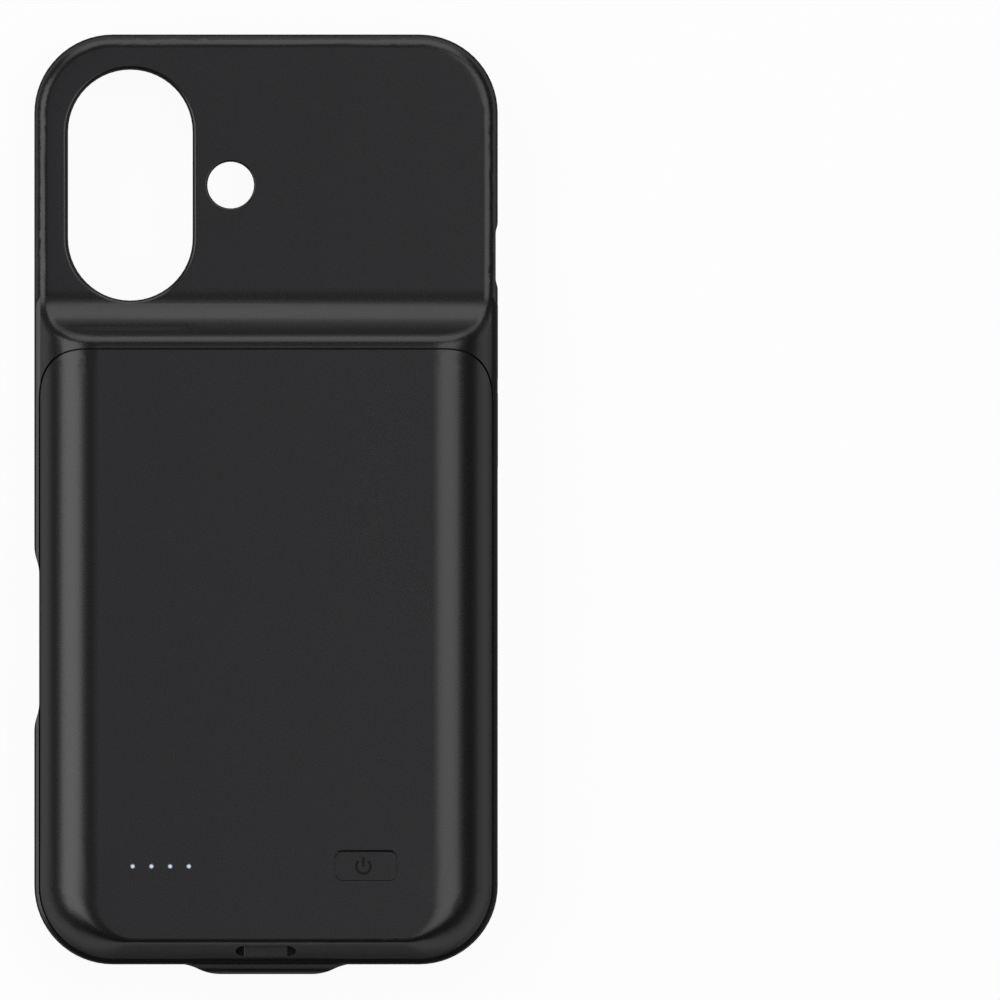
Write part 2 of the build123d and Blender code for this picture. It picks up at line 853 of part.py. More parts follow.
parts["power_key"] = make_power_key()
parts["switch_plunger"] = make_plunger()
parts["tact_switch"] = make_switch()
parts["light_guide"] = make_light_guide()
parts["status_leds"] = Compound(
    [on_board(x, controls_y, led_length, led_width, led_height) for x in light_places]
)

parts["battery_cell"] = make_cell()
parts["battery_tape"] = Compound(
    [
        block(
            x - tape_width / 2,
            x + tape_width / 2,
            cell_body_y + tape_margin,
            cell_top_y - tape_margin,
            tray_top,
            cell_floor,
        )
        for x in (-tape_across, tape_across)
    ]
)
parts["foam_pad"] = block(
    -foam_width / 2,
    foam_width / 2,
    cell_body_y + foam_margin,
    cell_top_y - foam_margin,
    cell_top,
    cover_ceiling,
)
tab_half = tab_thickness / 2
parts["cell_tabs"] = Compound(
    [
        block(
            x - tab_width / 2,
            x + tab_width / 2,
            cell_bottom_y - pcm_gap,
            cell_bottom_y,
            cell_middle - tab_half,
            cell_middle + tab_half,
        )
        for x in (-tab_across, tab_across)
    ]
)
parts["protection_board"] = block(
    -pcm_width / 2, pcm_width / 2, pcm_y, pcm_y + pcm_thickness, tray_top, tray_top + pcm_height
)
parts["battery_lead_positive"] = make_lead(lead_across)
parts["battery_lead_negative"] = make_lead(-lead_across)

board_plan = Pos(0, board_middle_y) * RectangleRounded(board_width, board_length, board_corner)
board = raised(board_plan, board_floor, board_top)
for x, y in screw_places:
    board -= Pos(x, y) * raised(Circle(screw_diameter / 2 + screw_fit), board_floor - 1, board_top + 1)
parts["main_board"] = board
parts["board_screws"] = Compound([make_screw(x, y) for x, y in screw_places])

shell = port_prism(port_width, port_height, port_front_y, port_front_y + port_length)
bore_width = port_width - 2 * port_shell_wall
bore_height = port_height - 2 * port_shell_wall
shell -= port_prism(bore_width, bore_height, port_front_y - 1, port_front_y + port_length - port_shell_wall)
parts["usb_port_shell"] = shell
core_front = port_front_y + port_length - port_shell_wall - port_core_depth
core = port_prism(bore_width, bore_height, core_front, port_front_y + port_length - port_shell_wall)
tongue_half = tongue_thickness / 2
core += block(
    -tongue_width / 2,
    tongue_width / 2,
    core_front - tongue_length,
    core_front + 0.2,
    port_middle - tongue_half,
    port_middle + tongue_half,
)
parts["usb_port_core"] = core
tongue_tip = core_front - tongue_length
upper_row = contact_row(
    tongue_tip + contact_setback,
    tongue_tip + contact_setback + contact_length,
    port_middle + tongue_half,
    port_middle + tongue_half + contact_thickness,
)
lower_row = contact_row(
    tongue_tip + contact_setback,
    tongue_tip + contact_setback + contact_length,
    port_middle - tongue_half - contact_thickness,
    port_middle - tongue_half,
)
parts["usb_port_contacts"] = Compound(upper_row + lower_row)

plug_root = bay_end_y - plug_seat
plug_tip = bay_end_y + plug_length
parts["plug_holder"] = plug_room(holder_gap) - plug_prism(
    plug_width + 2 * plug_fit, plug_height + 2 * plug_fit, plug_root, bay_end_y + 1
)
inner_width = plug_width - 2 * plug_wall
inner_height = plug_height - 2 * plug_wall
parts["plug_shell"] = plug_prism(plug_width, plug_height, plug_root, plug_tip) - plug_prism(
    inner_width, inner_height, plug_root - 1, plug_tip + 1
)
slot_half = plug_slot_height / 2
plug_mouth = block(
    -plug_slot_width / 2,
    plug_slot_width / 2,
    plug_tip - plug_tongue_depth,
    plug_tip + 1,
    phone_middle - slot_half,
    phone_middle + slot_half,
)
parts["plug_core"] = plug_prism(inner_width, inner_height, plug_root, plug_tip - plug_lead_in) - plug_mouth
upper_row = contact_row(
    plug_tip - plug_tongue_depth,
    plug_tip - plug_tongue_depth + contact_length,
    phone_middle + slot_half - contact_thickness,
    phone_middle + slot_half,
)
lower_row = contact_row(
    plug_tip - plug_tongue_depth,
    plug_tip - plug_tongue_depth + contact_length,
    phone_middle - slot_half,
    phone_middle - slot_half + contact_thickness,
)
parts["plug_contacts"] = Compound(upper_row + lower_row)
parts["plug_flex"] = make_flex()

parts["boost_inductor"] = on_board(
    inductor_across, inductor_y, inductor_size, inductor_size, inductor_height
)
parts["charge_controller"] = on_board(chip_across, chip_y, chip_size, chip_size, chip_height)
parts["boost_controller"] = on_board(
    small_chip_across, small_chip_y, small_chip_size, small_chip_size, chip_height
)
capacitor_places = [capacitor_across + index * capacitor_pitch for index in range(capacitor_count)]
parts["capacitors"] = Compound(
    [on_board(x, capacitor_y, capacitor_width, capacitor_length, capacitor_height) for x in capacitor_places]
)

for name, shape in parts.items():
    print(name, shape.is_valid, round(shape.volume, 1), len(shape.solids()), len(shape.faces()))
    export_step(shape, f"parts/{name}.step")
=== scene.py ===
# %% [markdown]
# # A battery charging case, dressed for its portrait
#
# The solids of the case come ready made: a soft frame, a hard cover over the battery, sprung keys and
# connectors. This lesson gives them their finishes, adds the small printed and lit details that are too
# fine for solids, and sets up the camera and the light. Lengths are in metres, and sizes that a maker
# would read off a drawing are written in millimetres and multiplied by `MM`.

# %% Load the case
import math

import bmesh
import bpy
import numpy as np
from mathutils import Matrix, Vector
from mathutils.bvhtree import BVHTree


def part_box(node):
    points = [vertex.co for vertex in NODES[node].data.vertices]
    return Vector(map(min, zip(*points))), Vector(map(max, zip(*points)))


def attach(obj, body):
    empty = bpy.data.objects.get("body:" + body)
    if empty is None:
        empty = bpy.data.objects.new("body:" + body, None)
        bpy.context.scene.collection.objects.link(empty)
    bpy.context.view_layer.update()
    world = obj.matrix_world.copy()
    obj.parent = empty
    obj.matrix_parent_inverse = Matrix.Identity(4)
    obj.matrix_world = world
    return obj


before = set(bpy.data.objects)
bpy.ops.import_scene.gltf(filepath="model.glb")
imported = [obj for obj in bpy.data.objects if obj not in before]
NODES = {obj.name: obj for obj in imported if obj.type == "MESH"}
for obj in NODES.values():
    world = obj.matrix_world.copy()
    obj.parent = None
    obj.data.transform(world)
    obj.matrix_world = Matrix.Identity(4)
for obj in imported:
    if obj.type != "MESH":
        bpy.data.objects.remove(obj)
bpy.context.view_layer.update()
MM = 0.001

# %% [markdown]
# ## Camera
#
# The portrait is taken square on from the back through a very long lens, so that the sides of the case
# hardly show. The case fills the left half of the picture. A long lens far away gives that flat look, and
# its field is worked out from one number: how many millimetres of the case one pixel covers.

# %% Camera
PIXEL = 0.1629 * MM
PICTURE = 1000
DISTANCE = 5.0
VIEW_AT = Vector((38.115 * MM, 0.71 * MM, 9.0 * MM))

lens = bpy.data.cameras.new("long_lens")
lens.sensor_width = 36.0
lens.lens = lens.sensor_width * DISTANCE / (PIXEL * PICTURE)
camera = bpy.data.objects.new("camera", lens)
camera.location = VIEW_AT + Vector((0, 0, DISTANCE))
bpy.context.scene.collection.objects.link(camera)
bpy.context.scene.camera = camera
print("camera: lens", round(lens.lens, 1), "mm")

# %% [markdown]
# ## Small helpers
#
# Colours are written as the hex values that a painter would pick on screen. Shaders count in linear light,
# so one function turns one into the other. A second one adds a node, sets it and links it, and a third
# turns grids of points into a mesh.

# %% Helpers
MERGE = 0.0005 * MM


def linear(hex_colour):
    """sRGB hex to linear RGBA: below 0.04045 a straight line, above it a power of 2.4."""
    srgb = np.array([int(hex_colour[i : i + 2], 16) for i in (1, 3, 5)]) / 255
    rgb = np.where(srgb <= 0.04045, srgb / 12.92, ((srgb + 0.055) / 1.055) ** 2.4)
    return (*rgb.tolist(), 1.0)


def add(tree, kind, inputs=(), **settings):
    """One node with its settings; each input takes a value, or the socket it is linked from."""
    node = tree.nodes.new(kind)
    for key, value in settings.items():
        setattr(node, key, value)
    for key, value in dict(inputs).items():
        if isinstance(value, bpy.types.NodeSocket):
            tree.links.new(value, node.inputs[key])
        else:
            node.inputs[key].default_value = value
    return node


def surface(name, grids, material, body):
    """Smooth mesh of grids, each an array of shape (rows, columns, 3) whose rows close on themselves.

    Each quad joins a point to the next in its row and to the two below. Points that coincide are merged.
    """
    points = []
    quads = []
    start = 0
    for grid in grids:
        rows, columns = grid.shape[:2]
        index = start + np.arange(rows * columns).reshape(rows, columns)
        after = np.roll(index, -1, axis=1)
        quads.append(np.stack([index[:-1], after[:-1], after[1:], index[1:]], axis=-1).reshape(-1, 4))
        points.append(grid.reshape(-1, 3))
        start += rows * columns
    mesh = bpy.data.meshes.new(name)
    mesh.from_pydata(np.concatenate(points).tolist(), [], np.concatenate(quads).tolist())
    shape = bmesh.new()
    shape.from_mesh(mesh)
    bmesh.ops.remove_doubles(shape, verts=shape.verts, dist=MERGE)
    shape.to_mesh(mesh)
    shape.free()
    mesh.polygons.foreach_set("use_smooth", np.full(len(mesh.polygons), True))
    mesh.materials.append(material)
    piece = bpy.data.objects.new(name, mesh)
    bpy.context.scene.collection.objects.link(piece)
    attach(piece, body)
    return piece


print("helpers: colours, nodes, surfaces")

# %% [markdown]
# ## Light
#
# A black satin case is drawn by what it mirrors. Each softbox stands where the wanted slope of the case
# sends the camera's line of sight: a slope of 20 degrees mirrors what is 40 degrees off the vertical. One
# long box to the left lights the left flank, one close to the vertical on the right lights the start of
# the right flank, and one low behind the top end lights the scoop. The corners face none of them and stay
# dark.

# %% Softboxes
LAMP_DISTANCE = 2.2


def softbox(name, azimuth, zenith, along, across, radiance):
    """Rectangular lamp that faces the case, placed and sized by the angles at which the case sees it.

    A flat lamp of area A and radiance L gives pi A L watts.
    """
    turn = math.radians(azimuth)
    tilt = math.radians(zenith)
    towards = Vector((math.sin(tilt) * math.cos(turn), math.sin(tilt) * math.sin(turn), math.cos(tilt)))
    lamp = bpy.data.lights.new(name, "AREA")
    lamp.shape = "RECTANGLE"
    lamp.size = 2 * LAMP_DISTANCE * math.tan(math.radians(along / 2))
    lamp.size_y = 2 * LAMP_DISTANCE * math.tan(math.radians(across / 2))
    lamp.energy = math.pi * lamp.size * lamp.size_y * radiance
    box = bpy.data.objects.new(name, lamp)
    box.location = towards * LAMP_DISTANCE
    box.rotation_euler = towards.to_track_quat("Z", "Y").to_euler()
    bpy.context.scene.collection.objects.link(box)
    print("softbox", name, round(lamp.size, 2), "x", round(lamp.size_y, 2), "m", round(lamp.energy, 1), "W")


softbox("left_box", 180, 50, 46, 37, 2.6)
softbox("right_box", 0, 28, 51, 36, 1.95)
softbox("top_box", 90, 59, 66, 42, 1.85)

# %% [markdown]
# The room itself is dark, with a pale band at the height of the horizon, as in a studio with light walls,
# and a small pale patch straight overhead. The band draws the thin bright lines low on the steep sides,
# and the patch lifts the flat faces a little above the dark slopes beside them. To the left the band hangs
# lower, so the height at which the room is looked up grows towards that side.

# %% World

# Each grey of the room starts at a height, from -1 straight down to 1 straight up.
ROOM = [
    (-0.60, "#595959"),
    (-0.44, "#929292"),
    (-0.30, "#dcdcdc"),
    (0.06, "#dcdcdc"),
    (0.20, "#444444"),
    (0.975, "#444444"),
    (0.99, "#c6c6cf"),
]
LEFT_START = -0.6
LEFT_DROP = 0.18

world = bpy.data.worlds.new("studio")
world.use_nodes = True
tree = world.node_tree
tree.nodes.clear()
way = add(tree, "ShaderNodeTexCoord").outputs["Generated"]
sides = add(tree, "ShaderNodeSeparateXYZ", {0: way}).outputs
leftwards = {"Value": sides["X"], "From Min": LEFT_START, "From Max": -1.0, "To Max": LEFT_DROP}
drop = add(tree, "ShaderNodeMapRange", leftwards).outputs[0]
height = add(tree, "ShaderNodeMath", {0: sides["Z"], 1: drop}, operation="ADD").outputs[0]
share = add(tree, "ShaderNodeMapRange", {"Value": height, "From Min": -1.0, "From Max": 1.0}).outputs[0]
bands = add(tree, "ShaderNodeValToRGB", {0: share})
ramp = bands.color_ramp
while len(ramp.elements) < len(ROOM):
    ramp.elements.new(0.5)
for stop, (level, grey) in zip(ramp.elements, ROOM):
    stop.position = (level + 1) / 2
    stop.color = linear(grey)
room = add(tree, "ShaderNodeBackground", {"Color": bands.outputs[0], "Strength": 1.0})
add(tree, "ShaderNodeOutputWorld", {"Surface": room.outputs[0]})
bpy.context.scene.world = world
bpy.context.scene.view_settings.view_transform = "Standard"
print("world: dark room with a pale horizon")

# %% [markdown]
# ## Floor
#
# The floor is white paper. For the eye of the camera, and in mirrors and glass, it is mostly a plain white
# of strength 1. A share of it stays ordinary paper, so that the shadow of the case still lies on it. In
# this portrait the floor is then kept out of mirrors altogether: the steep sides mirror the room below the
# horizon instead, which keeps their outline dark against the white.

# %% Floor
WHITE_SHARE = 0.94
paper = bpy.data.materials.new("white_paper")
paper.use_nodes = True
tree = paper.node_tree
tree.nodes.clear()
path = add(tree, "ShaderNodeLightPath")
seen = add(
    tree,
    "ShaderNodeMath",
    {0: path.outputs["Is Camera Ray"], 1: path.outputs["Is Glossy Ray"]},
    operation="MAXIMUM",
)
seen = add(
    tree,
    "ShaderNodeMath",
    {0: seen.outputs[0], 1: path.outputs["Is Transmission Ray"]},
    operation="MAXIMUM",
)
share = add(tree, "ShaderNodeMath", {0: seen.outputs[0], 1: WHITE_SHARE}, operation="MULTIPLY")
sheet = add(tree, "ShaderNodeBsdfDiffuse", {"Color": linear("#f4f4f4")})
white = add(tree, "ShaderNodeEmission", {"Color": (1, 1, 1, 1), "Strength": 1.0})
mixed = add(tree, "ShaderNodeMixShader", {0: share.outputs[0], 1: sheet.outputs[0], 2: white.outputs[0]})
add(tree, "ShaderNodeOutputMaterial", {"Surface": mixed.outputs[0]})

FLOOR_HALF = 3.0
FLOOR_DROP = 0.05 * MM
corners = np.array([[-1, -1], [1, -1], [1, 1], [-1, 1]]) * FLOOR_HALF
floor_mesh = bpy.data.meshes.new("floor")
floor_mesh.from_pydata(np.column_stack([corners, np.full(4, -FLOOR_DROP)]).tolist(), [], [[0, 1, 2, 3]])
floor_mesh.materials.append(paper)
floor = bpy.data.objects.new("floor", floor_mesh)
bpy.context.scene.collection.objects.link(floor)
floor.visible_glossy = False
print("floor:", 2 * FLOOR_HALF, "m square")

# %% [markdown]
# ## Smooth skins
#
# The solids arrive as loose triangles. Three modifiers make them look moulded: the first welds the
# triangles together, the second splits them again where two faces meet at a real edge, and the third lets
# the large flat faces decide the shading where they run tangent into a rounding.

# %% Smooth skins
EDGE_ANGLE = math.radians(28)
WELD = 0.002 * MM

for solid in NODES.values():
    solid.data.polygons.foreach_set("use_smooth", np.full(len(solid.data.polygons), True))
    weld = solid.modifiers.new("weld", "WELD")
    weld.merge_threshold = WELD
    split = solid.modifiers.new("real_edges", "EDGE_SPLIT")
    split.split_angle = EDGE_ANGLE
    split.use_edge_sharp = False
    shade = solid.modifiers.new("flat_faces_lead", "WEIGHTED_NORMAL")
    shade.keep_sharp = True
print("smooth skins:", len(NODES), "solids")

# %% [markdown]
# ## Moulded plastics
#
# The frame is thermoplastic polyurethane, soft and slightly rubbery. The cover and keys are polycarbonate.
# Both come from tools whose steel was blasted or spark eroded, which leaves a fine even grain. The grain
# is too fine to see one by one, but it breaks up the highlights into a satin sheen. The gloss differs from
# grain to grain, and the colour shifts a little over centimetres, where the melt flowed.

# %% One recipe for grained materials


def grained(
    name, colour, flow_colour, gloss, grain, depth, flow=18.0, stretch=(1, 1, 1), facing=None, **shader
):
    """Material whose colour drifts over a flow size, and whose fine grain sets its roughness and relief.

    gloss holds the lowest and highest roughness, and grain, depth and flow are sizes in millimetres. The
    noise of the grain keeps mostly between 0.3 and 0.7. facing is a function that gives the socket of the
    direction in which the skin faces, where the mesh isn't trusted.
    """
    material = bpy.data.materials.new(name)
    material.use_nodes = True
    tree = material.node_tree
    tree.nodes.clear()
    place = add(tree, "ShaderNodeTexCoord").outputs["Object"]
    along = add(tree, "ShaderNodeMapping", {"Vector": place, "Scale": stretch}).outputs[0]
    drift = add(tree, "ShaderNodeTexNoise", {"Vector": place, "Scale": 1 / (flow * MM), "Detail": 3.0})
    tint = add(
        tree,
        "ShaderNodeMix",
        {0: drift.outputs[0], 6: linear(colour), 7: linear(flow_colour)},
        data_type="RGBA",
    )
    grit = add(tree, "ShaderNodeTexNoise", {"Vector": along, "Scale": 1 / (grain * MM), "Detail": 2.0})
    rough = add(
        tree,
        "ShaderNodeMapRange",
        {"Value": grit.outputs[0], "From Min": 0.3, "From Max": 0.7, "To Min": gloss[0], "To Max": gloss[1]},
    )
    bump = add(
        tree,
        "ShaderNodeBump",
        {"Height": grit.outputs[0], "Distance": depth * MM, "Strength": 1.0},
    )
    if facing:
        tree.links.new(facing(tree, place), bump.inputs["Normal"])
    skin = add(
        tree,
        "ShaderNodeBsdfPrincipled",
        {
            "Base Color": tint.outputs[2],
            "Roughness": rough.outputs[0],
            "Normal": bump.outputs[0],
            **{key.replace("_", " "): value for key, value in shader.items()},
        },
    )
    add(tree, "ShaderNodeOutputMaterial", {"Surface": skin.outputs[0]})
    return material


def wear(material, *nodes):
    """The named solids take this material in place of the one they were packed with."""
    for name in nodes:
        slots = NODES[name].data.materials
        slots.clear()
        slots.append(material)
    print(material.name, "on", ", ".join(nodes))


print("recipe: grained materials, and how solids wear them")

# %% [markdown]
# Long flanks are the hardest test of a mesh: a highlight that runs along one shows every uneven triangle.
# Their true form is known, though. Over its straight length each flank is an arc of a circle that runs
# into the flat back, so the direction in which it faces is the direction from the centre of that circle.
# The shader takes that direction there and the one of the mesh elsewhere, with a soft change between them.

# %% True direction of the flanks

# Radius of the arcs, the height at which they reach the sides of the frame, and the stretch along the case
# over which they are straight.
FLANK_RADIUS = 11.0 * MM
FLANK_FOOT = 8.6 * MM
FLANK_MIDDLE = -18.0 * MM
FLANK_HALF = 42.0 * MM
FLANK_FADE = 6.0 * MM
ARC_SLACK = 0.08 * MM
FAR = 1.0
arc_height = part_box("battery_cover")[1][2] - FLANK_RADIUS
arc_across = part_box("case_frame")[1][0] - math.sqrt(FLANK_RADIUS**2 - (FLANK_FOOT - arc_height) ** 2)


def flank_facing(tree, place):
    """Direction from the nearest point of a flat strip, on the flanks; the direction of the mesh elsewhere.

    The strip lies between the axes of the two arcs, at their height. Its nearest point is the place itself,
    held between the axes and brought to that height. The skin is one radius away from it.
    """
    left_axis = (-arc_across, -FAR, arc_height)
    right_axis = (arc_across, FAR, arc_height)
    held = add(tree, "ShaderNodeVectorMath", {0: place, 1: left_axis}, operation="MAXIMUM").outputs[0]
    held = add(tree, "ShaderNodeVectorMath", {0: held, 1: right_axis}, operation="MINIMUM").outputs[0]
    arrow = add(tree, "ShaderNodeVectorMath", {0: place, 1: held}, operation="SUBTRACT").outputs[0]
    reach = add(tree, "ShaderNodeVectorMath", {0: arrow}, operation="LENGTH").outputs["Value"]
    skin = {0: reach, 1: FLANK_RADIUS, 2: ARC_SLACK}
    on_skin = add(tree, "ShaderNodeMath", skin, operation="COMPARE").outputs[0]
    along = add(tree, "ShaderNodeSeparateXYZ", {0: place}).outputs["Y"]
    along = add(tree, "ShaderNodeMath", {0: along, 1: FLANK_MIDDLE}, operation="SUBTRACT").outputs[0]
    along = add(tree, "ShaderNodeMath", {0: along}, operation="ABSOLUTE").outputs[0]
    ends = {"Value": along, "From Min": FLANK_HALF, "From Max": FLANK_HALF - FLANK_FADE}
    straight = add(tree, "ShaderNodeMapRange", ends, interpolation_type="SMOOTHSTEP").outputs[0]
    share = add(tree, "ShaderNodeMath", {0: on_skin, 1: straight}, operation="MULTIPLY").outputs[0]
    turn = {"vector_type": "NORMAL", "convert_from": "OBJECT", "convert_to": "WORLD"}
    arrow = add(tree, "ShaderNodeVectorTransform", {0: arrow}, **turn).outputs[0]
    arrow = add(tree, "ShaderNodeVectorMath", {0: arrow}, operation="NORMALIZE").outputs[0]
    mesh_side = add(tree, "ShaderNodeNewGeometry").outputs["Normal"]
    blend = add(tree, "ShaderNodeMix", {0: share, 4: mesh_side, 5: arrow}, data_type="VECTOR").outputs[1]
    return add(tree, "ShaderNodeVectorMath", {0: blend}, operation="NORMALIZE").outputs[0]


print("flanks: arc", round(FLANK_RADIUS / MM, 1), "mm, axis at", round(arc_across / MM, 2), "mm across")

# %% Frame, cover, keys and tray

# Soft thermoplastic polyurethane from a blasted tool: nearly black, with a satin sheen. A grain of 0.05 mm
# is drawn at 0.25 mm so that it shows.
soft_frame = grained("satin_tpu", "#0c0c0d", "#0f0f10", (0.26, 0.31), 0.25, 0.0007, IOR=1.50)

# Polycarbonate from a spark-eroded tool: the same black, a little smoother.
hard_shell = grained(
    "satin_polycarbonate",
    "#0b0b0c",
    "#0e0e0f",
    (0.26, 0.30),
    0.22,
    0.0005,
    facing=flank_facing,
    IOR=1.52,
)

# Keys are moulded in the same polycarbonate with a finer grain.
key_cap = grained("fine_polycarbonate", "#0b0b0c", "#0e0e0f", (0.26, 0.30), 0.16, 0.0006, IOR=1.52)

# Tray and plug holder are glass-filled polycarbonate with a coarse dull grain.
tray_plastic = grained(
    "glass_filled_polycarbonate",
    "#232324",
    "#29292a",
    (0.52, 0.62),
    0.35,
    0.004,
    IOR=1.54,
)

wear(soft_frame, "case_frame")
wear(hard_shell, "battery_cover")
wear(key_cap, "side_key", "volume_up_key", "volume_down_key", "power_key")
wear(tray_plastic, "inner_tray", "plug_holder")

# %% [markdown]
# Two places are given a duller and darker finish than the rest of their solid, as painted shade. The cover
# is glued to a ledge of the frame, and the floor of the seam on that ledge is painted dull and dark, the
# shade of the seam as a dark line. The ledge is found by looking straight up from each face of the frame,
# from its middle and from near its corners: where the cover is close overhead, the face is ledge. The round
# ends of the tunnel to the charging port are painted dull and dark too, for the shade deep in the tunnel.
# They are the faces close to the port whose direction lies across it.

# %% Seam and tunnel
LEDGE_REACH = 4.0 * MM
LOOK_START = 0.05 * MM
NEAR_CORNER = 0.9
LEDGE_UPWARD = 0.05
TUNNEL_REACH = np.array([6.0, 6.0, 2.6]) * MM
TUNNEL_LENGTHWAYS = 0.2
TUNNEL_SIDEWAYS = 0.12

# Painted shade for the floor of the seam: a dull near-black finish that draws the seam as a dark line.
seam_shade = grained(
    "painted_seam_shade",
    "#0c0c0c",
    "#101010",
    (0.5, 0.6),
    0.3,
    0.002,
    IOR=1.5,
    Specular_IOR_Level=0.2,
)

# Painted shade for the round ends of the port tunnel: dull and darker than the cover.
tunnel_shade = grained(
    "painted_tunnel_shade",
    "#060606",
    "#080808",
    (0.65, 0.75),
    0.2,
    0.001,
    IOR=1.52,
    Specular_IOR_Level=0.15,
)


def faces(solid):
    """Centres and directions of all faces of a solid, as two arrays."""
    count = len(solid.data.polygons)
    centre = np.empty(count * 3)
    facing = np.empty(count * 3)
    solid.data.polygons.foreach_get("center", centre)
    solid.data.polygons.foreach_get("normal", facing)
    return centre.reshape(-1, 3), facing.reshape(-1, 3)


def finish_faces(name, material, chosen):
    """The chosen faces of a solid take this material as a slot of their own."""
    mesh = NODES[name].data
    mesh.materials.append(material)
    mesh.polygons.foreach_set("material_index", np.where(chosen, len(mesh.materials) - 1, 0))
    print(material.name, "on", int(chosen.sum()), "faces of", name)


cover_mesh = NODES["battery_cover"].data
roof = BVHTree.FromPolygons([v.co for v in cover_mesh.vertices], [p.vertices for p in cover_mesh.polygons])
up = Vector((0, 0, 1))


def covered(mesh, face):
    """Whether the cover is close overhead at the middle of a face or near one of its corners."""
    spots = [face.center.lerp(mesh.vertices[index].co, NEAR_CORNER) for index in face.vertices]
    spots.append(face.center)
    return any(roof.ray_cast(spot + up * LOOK_START, up, LEDGE_REACH)[0] for spot in spots)


frame_mesh = NODES["case_frame"].data
under_cover = np.array([covered(frame_mesh, face) for face in frame_mesh.polygons])
facing = faces(NODES["case_frame"])[1]
finish_faces("case_frame", seam_shade, under_cover & (facing[:, 2] > LEDGE_UPWARD))

port_low, port_high = (np.array(corner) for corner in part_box("usb_port_shell"))
mouth = np.array([(port_low[0] + port_high[0]) / 2, port_low[1], (port_low[2] + port_high[2]) / 2])
centre, facing = faces(NODES["battery_cover"])
near = (np.abs(centre - mouth) < TUNNEL_REACH).all(axis=1)
sideways, lengthways = np.abs(facing[:, :2]).T
round_end = (lengthways < TUNNEL_LENGTHWAYS) & (sideways > TUNNEL_SIDEWAYS)
finish_faces("battery_cover", tunnel_shade, near & round_end)

# %% [markdown]
# ## Connectors
#
# The port and the plug have shells of stamped stainless steel, drawn along their length, which leaves
# hair-fine lines. The port's shell is given black nickel, a very dark metal that also paints the shade deep
# inside the port. Inside sit insulators of black liquid crystal polymer and contacts plated with gold.

# %% Connectors

# Drawn stainless steel: a neutral grey metal whose lines of 0.08 mm run along the shell.
steel = grained(
    "drawn_stainless_steel",
    "#9a9b9d",
    "#a8a9ab",
    (0.24, 0.36),
    0.08,
    0.0015,
    stretch=(1, 0.06, 1),
    Metallic=1.0,
)

# Black nickel over the same drawn steel: a very dark metal with the lines still in it, which also paints the
# shade inside the port.
black_nickel_and_port_shade = grained(
    "black_nickel_painted_port_shade",
    "#141415",
    "#1a1a1b",
    (0.30, 0.42),
    0.08,
    0.0012,
    stretch=(1, 0.06, 1),
    Metallic=1.0,
)

# Liquid crystal polymer: dull black with a faint flow pattern.
insulator = grained(
    "liquid_crystal_polymer",
    "#141414",
    "#1c1b1a",
    (0.45, 0.55),
    0.12,
    0.001,
    flow=3.0,
    IOR=1.6,
)

# Flash-plated gold on copper alloy: warm and smooth.
gold = grained("gold_plate", "#cfa555", "#d9b56a", (0.18, 0.26), 0.1, 0.0006, flow=2.0, Metallic=1.0)

wear(steel, "plug_shell", "tact_switch")
wear(black_nickel_and_port_shade, "usb_port_shell")
wear(insulator, "usb_port_core", "plug_core")
wear(gold, "usb_port_contacts", "plug_contacts")

# %% [markdown]
# ## Battery and circuit
#
# These lie inside the closed cover, and still look like what they are when someone opens the case: a pouch
# of aluminium laminate with small dents, green solder mask over a weave of glass, tinned and plated metal,
# and black epoxy chips.

# %% Battery and circuit

# Aluminium laminate: polymer-coated foil, silvery, with shallow dents 4 mm apart.
pouch = grained("aluminium_laminate", "#b9bbbe", "#c4c6c8", (0.26, 0.36), 4.0, 0.04, flow=9.0, Metallic=1.0)

# Nickel strip, rolled: a warm grey metal with lines along the strip.
nickel = grained(
    "rolled_nickel",
    "#b5b0a6",
    "#bdb8af",
    (0.25, 0.35),
    0.1,
    0.001,
    stretch=(1, 0.08, 1),
    Metallic=1.0,
)

# Double-sided tape: translucent polyester with milky glue.
tape = grained("polyester_tape", "#c9c8c2", "#d2d1cc", (0.4, 0.5), 0.5, 0.002, IOR=1.6)

# Open-cell polyurethane foam: charcoal, with cells of 0.4 mm.
foam = grained("polyurethane_foam", "#2a2a2b", "#333334", (0.85, 0.95), 0.4, 0.05, flow=6.0, IOR=1.45)

# Solder mask over glass weave: a glossy skin that follows threads 0.45 mm apart. Its green is darkened as
# painted shade, because the board shows through the gap round the power key, and that gap looks dark.
mask = grained("solder_mask", "#0a2216", "#0d2a1b", (0.28, 0.38), 0.45, 0.004, flow=7.0, IOR=1.52)

# Polyimide film: amber and slightly glossy.
flex = grained("polyimide_film", "#a5651c", "#b37225", (0.3, 0.38), 0.3, 0.001, flow=2.0, IOR=1.7)

# Epoxy moulding compound: flat charcoal with grains of silica.
epoxy = grained("moulded_epoxy", "#232323", "#2b2b2b", (0.55, 0.65), 0.08, 0.002, flow=1.0, IOR=1.55)

# Barium titanate ceramic: matte tan.
ceramic = grained("tan_ceramic", "#9c7b58", "#a88765", (0.5, 0.6), 0.1, 0.001, flow=0.8, IOR=1.6)

# Silicone-insulated lead: soft and slightly waxy, red for plus and black for minus.
red_lead = grained("red_silicone", "#a11f1f", "#ac2727", (0.42, 0.5), 0.2, 0.001, flow=2.0, IOR=1.41)
black_lead = grained("black_silicone", "#1c1c1c", "#222222", (0.42, 0.5), 0.2, 0.001, flow=2.0, IOR=1.41)

# Zinc-plated screw steel with a thin clear passivation.
zinc = grained("zinc_plated_steel", "#a3a6aa", "#b0b2b5", (0.25, 0.34), 0.12, 0.001, flow=1.0, Metallic=1.0)

wear(pouch, "battery_cell")
wear(nickel, "cell_tabs")
wear(tape, "battery_tape")
wear(foam, "foam_pad")
wear(mask, "main_board", "protection_board")
wear(flex, "plug_flex")
wear(epoxy, "boost_inductor", "charge_controller", "boost_controller", "switch_plunger")
wear(ceramic, "capacitors")
wear(red_lead, "battery_lead_positive")
wear(black_lead, "battery_lead_negative")
wear(zinc, "board_screws")

